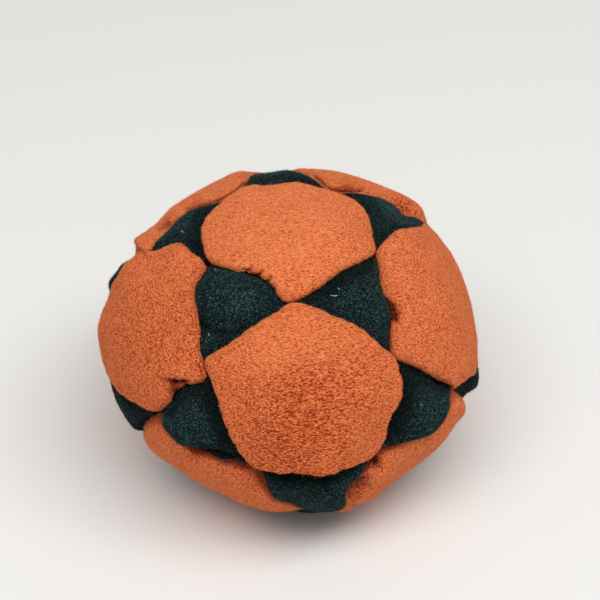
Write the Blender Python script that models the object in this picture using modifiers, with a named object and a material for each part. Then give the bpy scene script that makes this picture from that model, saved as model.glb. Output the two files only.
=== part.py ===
"""A footbag of 32 sewn suede panels, lying at rest. Twelve orange five-sided panels and twenty green
three-sided ones follow the faces of an icosidodecahedron, slumped a little under the weight of the
sand inside. Every panel is a cloth shell: crowned by the fill, rolled over at its edges, and turned in
at each seam as an allowance. A thread runs under the allowances round each orange panel, and the sand
fills the rest, with grooves where the allowances hang into it.

Metres, +Z up. The origin is on the ground, under the middle of the flat foot."""

import math

import bmesh
import bpy
from mathutils import Vector

# The bag: a flattened ball through its seam lines, which the crowned panels stand proud of
seam_radius = 0.0250
seam_half_height = 0.0209
foot_flattening = 0.0018
foot_blend = 0.0003

# The cloth and its seams
cloth_thickness = 0.0007
allowance_depth = 0.0022
sewn_gap = 0.0003

# How the fill pushes out each kind of panel: the rolled edge, then the dome over the middle
orange_roll_width = 0.0024
orange_roll_rise = 0.0019
orange_dome_rise = 0.0006
green_roll_width = 0.0019
green_roll_rise = 0.0012
green_dome_rise = 0.0004

# How proud the orange panels of each ring stand against the upper ring. The sand sinks, so the top is
# slack, and below the middle the green panels hang out over the orange ones and press them flatter
top_rise_share = 0.85
lower_rise_share = 0.68

# The sewing thread, and what it and the sand leave free round them
thread_radius = 0.0002
thread_clearance = 0.0003
sand_clearance = 0.0003
weld_distance = 0.000002

# Layout: the middle of the first panel of each orange ring, as seen from above
upper_ring_turn = math.radians(-90)
lower_ring_turn = math.radians(-54)
ring_count = 5
ring_polar = math.atan(2)

# How finely each surface is cut, and how much its cuts crowd towards its edges
orange_cuts = 4
green_cuts = 3
foot_cuts = 6
hidden_cuts = 2
edge_crowding = 1.8
foot_crowding = 1.25
corner_sharpness = 4
thread_bevel_resolution = 1
smooth_angle = math.radians(50)

ORANGE = dict(
    roll_width=orange_roll_width,
    roll_rise=orange_roll_rise,
    dome_rise=orange_dome_rise,
    cuts=orange_cuts,
    crowding=edge_crowding,
)
ORANGE_TOP = dict(
    ORANGE,
    roll_rise=orange_roll_rise * top_rise_share,
    dome_rise=orange_dome_rise * top_rise_share,
)
ORANGE_LOWER = dict(
    ORANGE,
    roll_rise=orange_roll_rise * lower_rise_share,
    dome_rise=orange_dome_rise * lower_rise_share,
)
ORANGE_FOOT = dict(ORANGE_LOWER, cuts=foot_cuts, crowding=foot_crowding)
GREEN = dict(
    roll_width=green_roll_width,
    roll_rise=green_roll_rise,
    dome_rise=green_dome_rise,
    cuts=green_cuts,
    crowding=edge_crowding,
)

# Colours as linear RGB, with roughness
FINISHES = {
    "orange_suede": ((0.80, 0.19, 0.065), 0.92),
    "green_suede": ((0.010, 0.028, 0.030), 0.95),
    "thread": ((0.012, 0.012, 0.012), 0.70),
    "sand": ((0.55, 0.42, 0.26), 1.00),
}

ORANGE_RINGS = {"top": ORANGE_TOP, "upper": ORANGE, "lower": ORANGE_LOWER, "base": ORANGE_FOOT}

foot_rise = ORANGE_FOOT["roll_rise"] + ORANGE_FOOT["dome_rise"]
centre_height = seam_half_height + foot_rise - foot_flattening


def clear_scene():
    for item in list(bpy.data.objects):
        bpy.data.objects.remove(item, do_unlink=True)


def make_collection(name):
    collection = bpy.data.collections.new(name)
    bpy.context.scene.collection.children.link(collection)
    return collection


def make_material(name, colour, roughness):
    material = bpy.data.materials.new(name)
    material.use_nodes = True
    shader = material.node_tree.nodes["Principled BSDF"]
    shader.inputs["Base Color"].default_value = (*colour, 1.0)
    shader.inputs["Roughness"].default_value = roughness
    shader.inputs["Metallic"].default_value = 0.0
    material.diffuse_color = (*colour, 1.0)
    return material


# Layout of the panels on a unit ball


def direction(polar, azimuth):
    return Vector(
        (
            math.sin(polar) * math.cos(azimuth),
            math.sin(polar) * math.sin(azimuth),
            math.cos(polar),
        )
    )


def orange_middles():
    """The direction of each orange panel's middle from the middle of the bag, by place name."""
    middles = {"top": direction(0, 0)}
    step = math.tau / ring_count
    for i in range(ring_count):
        middles[f"upper_{i + 1}"] = direction(ring_polar, upper_ring_turn + i * step)
    for i in range(ring_count):
        middles[f"lower_{i + 1}"] = direction(math.pi - ring_polar, lower_ring_turn + i * step)
    middles["base"] = direction(math.pi, 0)
    return middles


def in_order_round(middle, points):
    """The points in anticlockwise order round a direction, as seen from outside."""
    across = (points[0] - middle * points[0].dot(middle)).normalized()
    along = middle.cross(across)
    return sorted(points, key=lambda p: math.atan2(p.dot(along), p.dot(across)) % math.tau)


def orange_layout(middles):
    """Place name, middle, seam corners and form of each orange panel."""
    layout = []
    for name, middle in middles.items():
        near = [other for other in middles.values() if 0 < middle.dot(other) < 0.9]
        corners = [(middle + other).normalized() for other in near]
        form = ORANGE_RINGS[name.split("_")[0]]
        layout.append((name, middle, in_order_round(middle, corners), form))
    return layout


def green_layout(middles):
    """Place name, middle, seam corners and form of each green panel, named by ring from the top down."""
    found = []
    ways = list(middles.values())
    for i, a in enumerate(ways):
        for j, b in enumerate(ways[:i]):
            for c in ways[:j]:
                if min(a.dot(b), b.dot(c), c.dot(a)) > 0:
                    middle = (a + b + c).normalized()
                    corners = [(a + b).normalized(), (b + c).normalized(), (c + a).normalized()]
                    found.append((middle, in_order_round(middle, corners)))
    found.sort(key=lambda entry: -entry[0].z)
    layout = []
    for ring, name in enumerate(("crown", "upper", "lower", "foot")):
        members = found[ring * ring_count : (ring + 1) * ring_count]
        members.sort(key=lambda entry: turn_from_front(entry[0]))
        for i, (middle, corners) in enumerate(members):
            layout.append((f"{name}_{i + 1}", middle, corners, GREEN))
    return layout


def turn_from_front(way):
    """How far round the bag a direction lies, anticlockwise from the front, with the front itself first."""
    turn = math.atan2(way.y, way.x) - upper_ring_turn
    return round(turn % math.tau, 3) % round(math.tau, 3)


# From directions to places


def edge_normals(corners):
    """Unit normals of the planes through the bag's middle and each side, pointing into the panel."""
    following = corners[1:] + corners[:1]
    return [a.cross(b).normalized() for a, b in zip(corners, following)]


def ways_along_sides(corners):
    """Directions along every side of a panel, in the even steps that its hidden pieces take."""
    steps = hidden_cuts + 1
    following = corners[1:] + corners[:1]
    sides = zip(corners, following)
    return [a.lerp(b, i / steps).normalized() for a, b in sides for i in range(steps)]


def inset_corners(corners, inset):
    """The corners moved in, so that each side lies a distance inset from its seam plane."""
    angle = inset / seam_half_height
    normals = edge_normals(corners)
    moved = []
    for i, corner in enumerate(corners):
        before, after = normals[i - 1], normals[i]
        pull = math.sin(angle) / (1 + before.dot(after))
        inward = (before + after) * pull
        moved.append(inward + corner * math.sqrt(1 - inward.length_squared))
    return moved


def place(way, rise):
    """The point at a height above the seam surface, along a direction from the middle of the bag."""
    point = Vector((way.x * seam_radius, way.y * seam_radius, way.z * seam_half_height))
    return point * (1 + rise / point.length)


def settled(point, lift):
    """The point as the ground leaves it: flat on the foot, with a soft turn up to the round side."""
    above = point.z + centre_height - lift
    if above >= foot_blend:
        return point
    flat = max(above + foot_blend, 0) ** 2 / (4 * foot_blend)
    return Vector((point.x, point.y, flat - centre_height + lift))


def distance_in(way, normals):
    """Distance from a panel's edge, measured on the seam surface and rounded off in its corners."""
    total = 0
    for normal in normals:
        across = max(seam_radius * math.asin(way.dot(normal)), weld_distance)
        total += across**-corner_sharpness
    return total ** (-1 / corner_sharpness)


def crown_rise(distance, middle_distance, form, skin):
    """Height of a panel's surface above the seam surface, or of the one that lies skin below it."""
    roll_share = min(distance / (form["roll_width"] - skin), 1)
    dome_share = min(distance / middle_distance, 1)
    roll = (form["roll_rise"] - skin) * math.sqrt(1 - (1 - roll_share) ** 2)
    return roll + form["dome_rise"] * (1 - (1 - dome_share) ** 2)


def crowned_net(middle, corners, form, cuts, skin):
    """An open net over a panel's outline, crowded towards its edges and crowned as the fill pushes it.
    Returns the net and, for each vertex, its direction."""
    net = bmesh.new()
    bmesh.ops.create_circle(net, cap_ends=True, radius=1, segments=len(corners))
    for vertex, corner in zip(net.verts, corners):
        vertex.co = corner
    hub = bmesh.ops.poke(net, faces=net.faces[:])["verts"][0].co.copy()
    bmesh.ops.subdivide_edges(net, edges=net.edges[:], cuts=cuts, use_grid_fill=True)
    normals = edge_normals(corners)
    middle_distance = distance_in(middle, normals)
    ways = {}
    for vertex in net.verts:
        inner_share = min(vertex.co.dot(normal) / hub.dot(normal) for normal in normals)
        inner_share = min(max(inner_share, 0), 1)
        if inner_share < 1:
            spread = (1 - inner_share ** form["crowding"]) / (1 - inner_share)
            vertex.co = hub + (vertex.co - hub) * spread
        way = vertex.co.normalized()
        ways[vertex] = way
        rise = crown_rise(distance_in(way, normals), middle_distance, form, skin)
        vertex.co = settled(place(way, rise), skin)
    return net, ways


def extrude_border(net, ways, drop):
    """Adds a band from the net's border straight down to a depth under the seam surface."""
    border = [edge for edge in net.edges if edge.is_boundary]
    known = {tuple(end.co): ways[end] for edge in border for end in edge.verts}
    made = bmesh.ops.extrude_edge_only(net, edges=border)["geom"]
    for vertex in [item for item in made if isinstance(item, bmesh.types.BMVert)]:
        way = known[tuple(vertex.co)]
        ways[vertex] = way
        vertex.co = place(way, -drop)


def mesh_object(name, net, material, collection, bag):
    mesh = bpy.data.meshes.new(name)
    bmesh.ops.recalc_face_normals(net, faces=net.faces[:])
    net.to_mesh(mesh)
    net.free()
    mesh.materials.append(material)
    mesh.shade_smooth()
    mesh.set_sharp_from_angle(angle=smooth_angle)
    item = bpy.data.objects.new(name, mesh)
    collection.objects.link(item)
    item.parent = bag
    return item


# The pieces


def make_panel(name, middle, corners, form, material, collection, bag):
    """A cloth shell: the crowned face, its rolled edges and the allowance turned in at each seam."""
    corners = inset_corners(corners, sewn_gap / 2)
    net, ways = crowned_net(middle, corners, form, form["cuts"], 0)
    extrude_border(net, ways, allowance_depth)
    panel = mesh_object(name, net, material, collection, bag)
    shell = panel.modifiers.new("Cloth", "SOLIDIFY")
    shell.thickness = cloth_thickness
    shell.offset = -1
    shell.use_even_offset = True
    shell.use_rim = True
    return panel


def make_thread(name, corners, material, collection, bag):
    """The thread round one orange panel, along the raw edge of its allowance."""
    corners = inset_corners(corners, thread_radius + thread_clearance / 2)
    depth = allowance_depth + thread_clearance + thread_radius
    points = [place(way, -depth) for way in ways_along_sides(corners)]
    curve = bpy.data.curves.new(name, "CURVE")
    curve.dimensions = "3D"
    curve.bevel_depth = thread_radius
    curve.bevel_resolution = thread_bevel_resolution
    spline = curve.splines.new("POLY")
    spline.points.add(len(points) - 1)
    for spline_point, point in zip(spline.points, points):
        spline_point.co = (*point, 1)
    spline.use_cyclic_u = True
    spline.use_smooth = True
    curve.materials.append(material)
    item = bpy.data.objects.new(name, curve)
    collection.objects.link(item)
    item.parent = bag


def sand_pad(middle, corners, form):
    """The sand behind one panel: its crowned face, the side down to the groove, and half the groove."""
    skin = cloth_thickness + sand_clearance
    shrink_share = 1 - allowance_depth / seam_half_height
    pad_corners = inset_corners(corners, (sewn_gap / 2 + skin) / shrink_share)
    groove_depth = allowance_depth + 2 * thread_clearance + 2 * thread_radius
    net, ways = crowned_net(middle, pad_corners, form, hidden_cuts, skin)
    extrude_border(net, ways, groove_depth)
    reach_seams(net, ways, pad_corners, corners, groove_depth)
    return net


def reach_seams(net, ways, pad_corners, corners, depth):
    """Adds the half of the groove's floor that runs from a pad to the seam planes round it."""
    border = [edge for edge in net.edges if edge.is_boundary]
    known = {tuple(end.co): ways[end] for edge in border for end in edge.verts}
    made = bmesh.ops.extrude_edge_only(net, edges=border)["geom"]
    pairs = list(zip(ways_along_sides(pad_corners), ways_along_sides(corners)))
    for vertex in [item for item in made if isinstance(item, bmesh.types.BMVert)]:
        way = known[tuple(vertex.co)]
        seam_way = min(pairs, key=lambda pair: (pair[0] - way).length)[1]
        vertex.co = place(seam_way, -depth)


def make_sand(layout, material, collection, bag):
    """The sand as one body: a pad behind every panel, joined along the floors of the grooves."""
    whole = bmesh.new()
    for _, middle, corners, form in layout:
        net = sand_pad(middle, corners, form)
        piece = bpy.data.meshes.new("sand_pad")
        net.to_mesh(piece)
        net.free()
        whole.from_mesh(piece)
        bpy.data.meshes.remove(piece)
    bmesh.ops.remove_doubles(whole, verts=whole.verts[:], dist=weld_distance)
    mesh_object("sand_fill", whole, material, collection, bag)


def main():
    clear_scene()
    collection = make_collection("footbag")
    finish = {name: make_material(name, *values) for name, values in FINISHES.items()}
    bag = bpy.data.objects.new("footbag", None)
    bag.location = (0, 0, centre_height)
    collection.objects.link(bag)
    middles = orange_middles()
    oranges = orange_layout(middles)
    greens = green_layout(middles)
    for place_name, middle, corners, form in oranges:
        panel_name = f"orange_panel_{place_name}"
        make_panel(panel_name, middle, corners, form, finish["orange_suede"], collection, bag)
        make_thread(f"seam_thread_{place_name}", corners, finish["thread"], collection, bag)
    for place_name, middle, corners, form in greens:
        panel_name = f"green_panel_{place_name}"
        make_panel(panel_name, middle, corners, form, finish["green_suede"], collection, bag)
    make_sand(oranges + greens, finish["sand"], collection, bag)
    bpy.context.view_layer.update()


main()
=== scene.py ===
"""The look of a sewn suede footbag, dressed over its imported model.

Every panel of the part is replaced by a closed cloth shell of the same place and outline: a seam
allowance turned in, an edge that hangs over its neighbour or tucks under it, and a crown with the
folds, puckers and grain of the photograph. The sand and the threads inside follow the same shape.

Metres, +Z up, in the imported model's frame."""

import math
from itertools import combinations

import bpy
import numpy as np
from mathutils import Matrix, Vector


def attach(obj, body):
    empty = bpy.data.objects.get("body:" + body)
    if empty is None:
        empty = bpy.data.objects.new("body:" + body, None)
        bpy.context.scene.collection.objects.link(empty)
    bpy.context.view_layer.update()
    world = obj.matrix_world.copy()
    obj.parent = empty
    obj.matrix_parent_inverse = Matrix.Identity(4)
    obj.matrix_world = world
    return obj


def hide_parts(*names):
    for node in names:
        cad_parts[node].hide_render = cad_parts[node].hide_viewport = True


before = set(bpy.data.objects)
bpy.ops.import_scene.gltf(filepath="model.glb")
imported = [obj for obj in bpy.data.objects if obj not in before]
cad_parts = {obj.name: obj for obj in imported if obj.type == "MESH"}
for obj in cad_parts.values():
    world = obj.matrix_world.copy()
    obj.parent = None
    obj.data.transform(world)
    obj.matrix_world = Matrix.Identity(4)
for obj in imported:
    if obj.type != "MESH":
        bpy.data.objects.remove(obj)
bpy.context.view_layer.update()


class Facts:
    """A few named values that belong together."""

    def __init__(self, **facts):
        self.__dict__.update(facts)


mm = 0.001

# The seam surface and the cloth, as the part has them
seam_radius = 25.0 * mm
seam_half_height = 20.9 * mm
SEAM_RADII = np.array([seam_radius, seam_radius, seam_half_height])
centre_height = 20.8 * mm
sewn_gap = 0.3 * mm
cloth_thickness = 0.7 * mm
allowance_depth = 2.2 * mm
thread_radius = 0.2 * mm
inner_clearance = 0.3 * mm
ring_count = 5
ring_polar = math.atan(2)
upper_ring_turn = math.radians(-90)
lower_ring_turn = math.radians(-54)
panel_half_angle = math.radians(31.7)
sorting_digits = 3

# The camera, fitted to the seam corners in the photograph
view_elevation = math.radians(40)
view_azimuth = math.radians(-5.9)
view_distance = 257.4 * mm
view_right = -1.17 * mm
view_up = -4.95 * mm
focal_pixels = 1800
picture_pixels = 600
half_picture = picture_pixels / 2
sensor_width = 36
near_clip = 10 * mm

# The studio
light_stand = (0.03, -0.20, 0.56)
light_size = (0.9, 0.25)
light_power = 3.62
sky_strength = 0.347
floor_reach = 1.5

# How finely the outer and the hidden faces are cut
orange_rings = 128
green_rings = 96
RING_COUNTS = {"orange_upper_1": 176}
inner_every = 4
allowance_rings = 4
sand_rings = 24
thread_sides = 9
thread_steps = 88
edge_crowding = 1.6
corner_sharpness = 4
weld = 0.002 * mm

# Soft random heights: the factors that scramble a lattice point and the levels of its slopes
SCRAMBLERS = (73856093, 19349663, 83492791, 2654435761)
last_scrambler = 1274126177
largest_code = 0x7FFFFFFF
slope_levels = 1021
noise_gain = 1.4
seeds_per_panel = 20

# Fibres, lint, thread and sand
fibre_length = 0.32 * mm
fibre_radius = 0.017 * mm
fibre_lean = 0.60
shortest_share = 0.5
thinnest_share = 0.7
width_spread_share = 0.6
lint_radius = 0.045 * mm
strand_count = 3
strand_depth_share = 0.1
thread_turn = 0.35 * mm
grain_height = 0.05 * mm
grain_size = 0.4 * mm

# The cloth: the band along a seam that bows and scallops, its stitches and painted shade, the folds, the
# swell of the fill and the turn at the foot
band_start = 0.5 * mm
band_fade = (1.2 * mm, 4.2 * mm)
corner_reach = 2.6 * mm
corner_drop_share = 0.15
scallop_sink_share = 0.8
stitch_count = 7
stitch_drift = 0.35
stitch_drift_reach = 2.0
stitch_strength = (0.65, 0.5)
stitch_strength_reach = 1.6
stitch_roundness = 0.8
lines_per_panel = 10
neighbour_offset = 0.3
arch_fade = (0.1, 0.5)
seam_shade_depth = 0.4 * mm
shelter_fade = (-0.15, 0.35)
back_fade = (-0.6, 1.0)
far_side_fade = (0.0, 0.22)
fold_start = 0.5 * mm
swell_fade = (0.2 * mm, 1.5 * mm)
swell_height = 0.15 * mm
swell_size = 6 * mm
fine_swell_size = 2.4 * mm
fine_swell_share = 0.35
ground_blend = 0.5 * mm

# The nap: how wear changes with place, how fine its parts are against its tufts, and where streaks show
wear_size = 3.5 * mm
wear_drift = 0.22
worn_flat_share = 0.5
least_level = 0.1
fine_nap_share = 0.45
fine_nap_height = 0.6
streak_size_share = 1.2
streak_fade = (0.16, 0.46)
streak_wear = (-0.6, 0.75)
curl_power = 0.8

# The suede's colour: what the nap, wear and painted shade add to the clumps, and how strong each painted
# shade is
clump_span = (0.24, 0.76)
nap_weight = 0.30
wear_and_shade_weight = 0.20
fleck_size = 0.16 * mm
fleck_span = (0.76, 0.82)
painted_shade_share = 0.92
crease_share = 0.85
deep_shade_share = 0.15
nap_bump = 0.18 * mm

# The cross-section of each kind of panel. Where it hangs over its neighbour, an arc leaves the seam
# outwards and turns up over the edge. Where it tucks under, a wide arc leaves the seam inwards.
# The gap_shade of each kind is how far in from the seam the painted shade under a neighbour's edge stays
# full, then fades out.
ORANGE = Facts(
    colour="orange",
    slot="orange_suede",
    rings=orange_rings,
    over=(1.1 * mm, math.radians(232)),
    under=(3.6 * mm, math.radians(130)),
    roll_width=2.5 * mm,
    dome_rise=0.6 * mm,
    corner_pull=0.0 * mm,
    bow=0.3 * mm,
    scallop=0.16 * mm,
    gap_shade=(0.8 * mm, 1.8 * mm),
    grain=0.055 * mm,
    nap=(0.17 * mm, 1.15, 0.8),
    nap_height=(0.3, 1.4),
    fibre_density=6.6 / mm**2,
    fill=0.8,
)
GREEN = Facts(
    colour="green",
    slot="green_suede",
    rings=green_rings,
    over=(0.8 * mm, math.radians(215)),
    under=(5.0 * mm, math.radians(122)),
    roll_width=2.9 * mm,
    dome_rise=0.8 * mm,
    corner_pull=0.25 * mm,
    bow=0.1 * mm,
    scallop=0.06 * mm,
    gap_shade=(1.6 * mm, 2.9 * mm),
    grain=0.060 * mm,
    nap=(0.21 * mm, 1.0, 0.0),
    nap_height=(0.85, 3.0),
    fibre_density=10 / mm**2,
    fill=0.6,
)

# How far an orange panel hangs over its green neighbour, from 1, over it, to 0, tucked under it:
# first by the rings that meet, then for single seams
OVERHANG_SHARES = {
    ("top", "crown"): 1.0, ("upper", "crown"): 0.9, ("upper", "upper"): 0.9, ("upper", "lower"): 0.95,
    ("lower", "upper"): 0.1, ("lower", "lower"): 0.2, ("lower", "foot"): 0.5, ("base", "foot"): 0.5,
    ("lower_1", "lower_2"): 0.5, ("lower_1", "lower_1"): 0.0, ("top", "crown_5"): 0.75,
    ("top", "crown_3"): 0.5, ("top", "crown_2"): 0.6, ("top", "crown_4"): 0.8,
}

# How dark the painted shade in the gap under single seams is, where it isn't as dark as under the others
GAP_SHADE_SHARES = {("top", "crown_5"): 0.25, ("upper_1", "crown_1"): 0.5, ("upper_1", "crown_5"): 0.7}

# How proud single panels stand, against their kind, and how much less towards the back
RISE_SHARES = {"top": 0.9, "upper_3": 0.85, "upper_4": 0.85, "lower_1": 0.8, "lower_5": 0.75, "base": 0.86}
BACK_FALL_SHARES = {"top": 0.35}

# How far the corners of two orange panels stay from each other, halved, where they don't press together
CORNER_GAPS = {frozenset(("top", "upper_5")): 0.42 * mm, frozenset(("upper_5", "lower_5")): 0.35 * mm}
plain_corner_gap = 0.09 * mm
corner_softness = 0.08 * mm

# The nap of single panels, against their kind: the spacing of its tufts, how much longer than wide they
# are along the level direction, and how strong the dark streaks between them are
NAPS = {
    "orange_top": (0.16 * mm, 1.2, 1.3),
    "orange_upper_1": (0.13 * mm, 3.2, 0.9),
    "orange_upper_5": (0.17 * mm, 1.4, 0.7),
    "orange_lower_5": (0.17 * mm, 1.6, 0.8),
    "orange_lower_1": (0.19 * mm, 1.4, 1.6),
}

# Seam corners, by the two orange panels that meet there, and the pixel that each comes to
CORNER_PIXELS = {
    ("top", "upper_1"): (298, 300), ("top", "upper_2"): (378, 249), ("top", "upper_3"): (332, 188),
    ("top", "upper_4"): (230, 196), ("top", "upper_5"): (205, 260), ("upper_1", "upper_2"): (394, 357),
    ("upper_1", "upper_5"): (206, 367), ("upper_2", "upper_3"): (433, 229),
    ("upper_4", "upper_5"): (143, 256), ("upper_5", "lower_5"): (152, 417),
    ("upper_2", "lower_1"): (454, 391), ("upper_1", "lower_5"): (254, 467),
    ("upper_1", "lower_1"): (377, 457), ("lower_5", "lower_1"): (320, 512),
}
corner_rise = 1 * mm

# Other places that lie off the regular layout, by panel: the pixel of each, then the pixel that it comes
# to. An upper or lower panel is an orange one unless it is called green.
PULLS = {
    "lower_1": {"right end": (464, 412, 465, 404)},
    "lower_5": {"left end": (137, 434, 138, 430)},
    "upper_1": {"right edge": (403, 385, 405, 388), "foot": (310, 471, 315, 476)},
}
pull_rise = 2 * mm
pull_reach = 6.5 * mm

# Shifts of single edges in the picture, on top of those, in the same form
EDGE_SHIFTS = {
    "upper_5": {
        "top edge": (174, 250, 176, 243), "upper right edge": (204, 292, 195, 290),
        "right edge": (202, 315, 198, 315), "lower right edge": (194, 372, 204, 377),
    },
    "top": {"left edge": (208, 230, 203, 229), "lower left edge": (277, 292, 276, 296)},
    "upper_2": {
        "top edge": (400, 241, 399, 230), "top right edge": (412, 235, 412, 228),
        "left edge": (390, 285, 382, 287), "lower left edge": (391, 306, 388, 306),
    },
    "upper_3": {"lower edge": (397, 205, 396, 212), "lower right edge": (412, 211, 410, 219)},
    "upper_1": {
        "upper right edge": (335, 314, 334, 317), "right edge": (399, 419, 390, 418),
        "lower right edge": (393, 432, 386, 431), "lower edge": (322, 474, 323, 477),
    },
    "lower_5": {"upper right edge": (280, 493, 279, 500)},
    "lower_1": {
        "upper edge": (427, 427, 431, 432), "upper left edge": (350, 490, 345, 489),
        "left end": (338, 500, 343, 502),
    },
}
edge_reach = 19

# The outline of the whole bag, next
OUTLINE_SHIFTS = {
    "crown_3": {
        "top": (285, 172, 285, 172), "left end": (240, 193, 246, 185), "front": (257, 184, 257, 182),
    },
    "upper_4": {
        "far end": (262, 172, 254, 174), "back": (205, 184, 205, 187), "side": (180, 200, 181, 203),
        "lower side": (141, 240, 137, 240), "lower edge": (156, 237, 159, 243),
        "notch above upper_5": (129, 262, 137, 253),
    },
    "crown_4": {"left end": (153, 248, 152, 254)},
    "upper_5": {
        "upper left side": (122, 271, 119, 263), "high left side": (109, 298, 105, 296),
        "left side": (102, 325, 98, 324), "low left side": (102, 350, 100, 350),
        "lower left edge": (139, 411, 140, 406), "foot": (151, 416, 153, 411),
        "lower right edge": (198, 388, 197, 383), "low right edge": (183, 394, 180, 389),
        "right edge": (204, 345, 200, 346),
    },
    "lower_5": {
        "left end": (140, 432, 136, 429), "upper side": (155, 450, 151, 454), "side": (180, 474, 178, 478),
        "lower side": (205, 489, 204, 493), "foot": (240, 500, 240, 502), "front": (285, 512, 285, 508),
        "right end": (309, 510, 301, 508), "upper edge": (205, 451, 205, 456),
        "upper right edge": (228, 458, 228, 462),
    },
    "top": {
        "lower left edge": (257, 284, 259, 279), "low left edge": (268, 292, 272, 289),
        "right end of crown_5": (292, 301, 286, 303), "lower right edge": (340, 276, 339, 272),
    },
    "lower_1": {
        "foot": (335, 508, 338, 508), "low side": (368, 498, 364, 496), "lower side": (403, 476, 398, 474),
        "side": (424, 459, 419, 457), "upper side": (437, 444, 434, 443), "high side": (445, 429, 449, 430),
        "right side": (455, 414, 461, 414), "right end": (461, 404, 467, 401),
        "upper edge": (400, 446, 400, 443),
    },
    "green lower_2": {"side": (467, 387, 473, 388), "upper side": (474, 372, 479, 372)},
    "upper_2": {
        "foot": (460, 391, 457, 387), "lower side": (482, 345, 477, 345),
        "low right side": (483, 325, 475, 325), "right side": (480, 300, 471, 300),
        "high right side": (476, 280, 467, 280), "upper right side": (467, 262, 460, 265),
        "upper side": (452, 242, 446, 245), "notch above upper_2": (436, 228, 428, 224),
    },
    "upper_3": {
        "lower end": (425, 211, 423, 211), "right end of crown_2": (415, 224, 420, 224),
        "back": (410, 200, 410, 199),
    },
    "upper_1": {"low right edge": (379, 454, 377, 450)},
}
outline_reach = 22

# What is still off after those, on the outline and along the inner edges
FINE_SHIFTS = {
    "lower_5, outside": {
        "upper side": (162, 462, 163, 459), "side": (178, 477, 180, 471),
        "lower side": (199, 489, 202, 484), "foot": (220, 498, 222, 494),
    },
    "lower_1, outside": {
        "low side": (361, 492, 364, 500), "left end": (354, 503, 357, 505),
        "middle side": (381, 483, 384, 488), "lower side": (398, 471, 401, 475),
        "side": (415, 457, 419, 461), "upper side": (430, 445, 434, 449), "high side": (454, 427, 453, 426),
    },
    "green upper_4": {"corner": (106, 267, 114, 272), "side": (103, 287, 109, 288)},
    "upper_5, outside": {"upper left side": (117, 261, 121, 264), "left side": (101, 312, 102, 312)},
    "upper_3": {"side": (404, 203, 409, 198), "lower end": (420, 215, 422, 213)},
    "green lower_2": {"side": (478, 390, 473, 387)},
    "upper_2": {
        "foot": (468, 383, 465, 380), "corner below upper_2": (437, 383, 446, 385),
        "lower edge": (408, 367, 408, 364), "low edge": (420, 373, 421, 370),
    },
    "lower_1, inside": {"upper end": (442, 404, 449, 405), "upper edge": (442, 415, 446, 415)},
    "upper_1": {"left edge": (214, 400, 218, 400), "low left edge": (222, 420, 224, 420)},
    "upper_5, inside": {
        "top left edge": (161, 252, 161, 248), "top edge": (172, 249, 172, 244),
        "top right edge": (195, 254, 194, 254), "lower right edge": (171, 396, 174, 396),
    },
    "lower_5, inside": {
        "upper edge": (199, 449, 199, 451), "middle edge": (224, 463, 224, 461),
        "right edge": (275, 493, 273, 496),
    },
    "upper_1, foot": {"left foot": (273, 475, 273, 473), "foot": (294, 476, 294, 473)},
    "crown_3": {
        "back": (275, 170, 275, 173), "far end of upper_3": (300, 168, 292, 170),
        "front": (296, 180, 296, 182),
    },
}
fine_reach = 17

# Small places that are still off after those
LOCAL_SHIFTS = {
    "upper_3": {
        "lower edge": (399, 205, 397, 209), "lower right edge": (408, 210, 405, 215),
        "side": (404, 194, 404, 194), "right side": (413, 202, 415, 201), "right end": (417, 208, 421, 207),
        "lower end": (426, 216, 426, 218), "notch above upper_2": (430, 222, 427, 224),
    },
    "upper_4": {"left end": (139, 247, 136, 246)},
    "upper_2": {"top edge": (409, 225, 409, 228), "corner below upper_2": (443, 385, 450, 386)},
    "lower_1": {
        "upper end": (458, 389, 457, 392), "left end": (349, 500, 345, 501), "foot": (359, 503, 359, 505),
        "low side": (372, 499, 373, 501),
    },
    "lower_5": {"upper edge": (202, 460, 203, 457), "middle edge": (215, 461, 215, 459)},
}
local_reach = 9
shift_fade = (1.0 * mm, 10.0 * mm)
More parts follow.
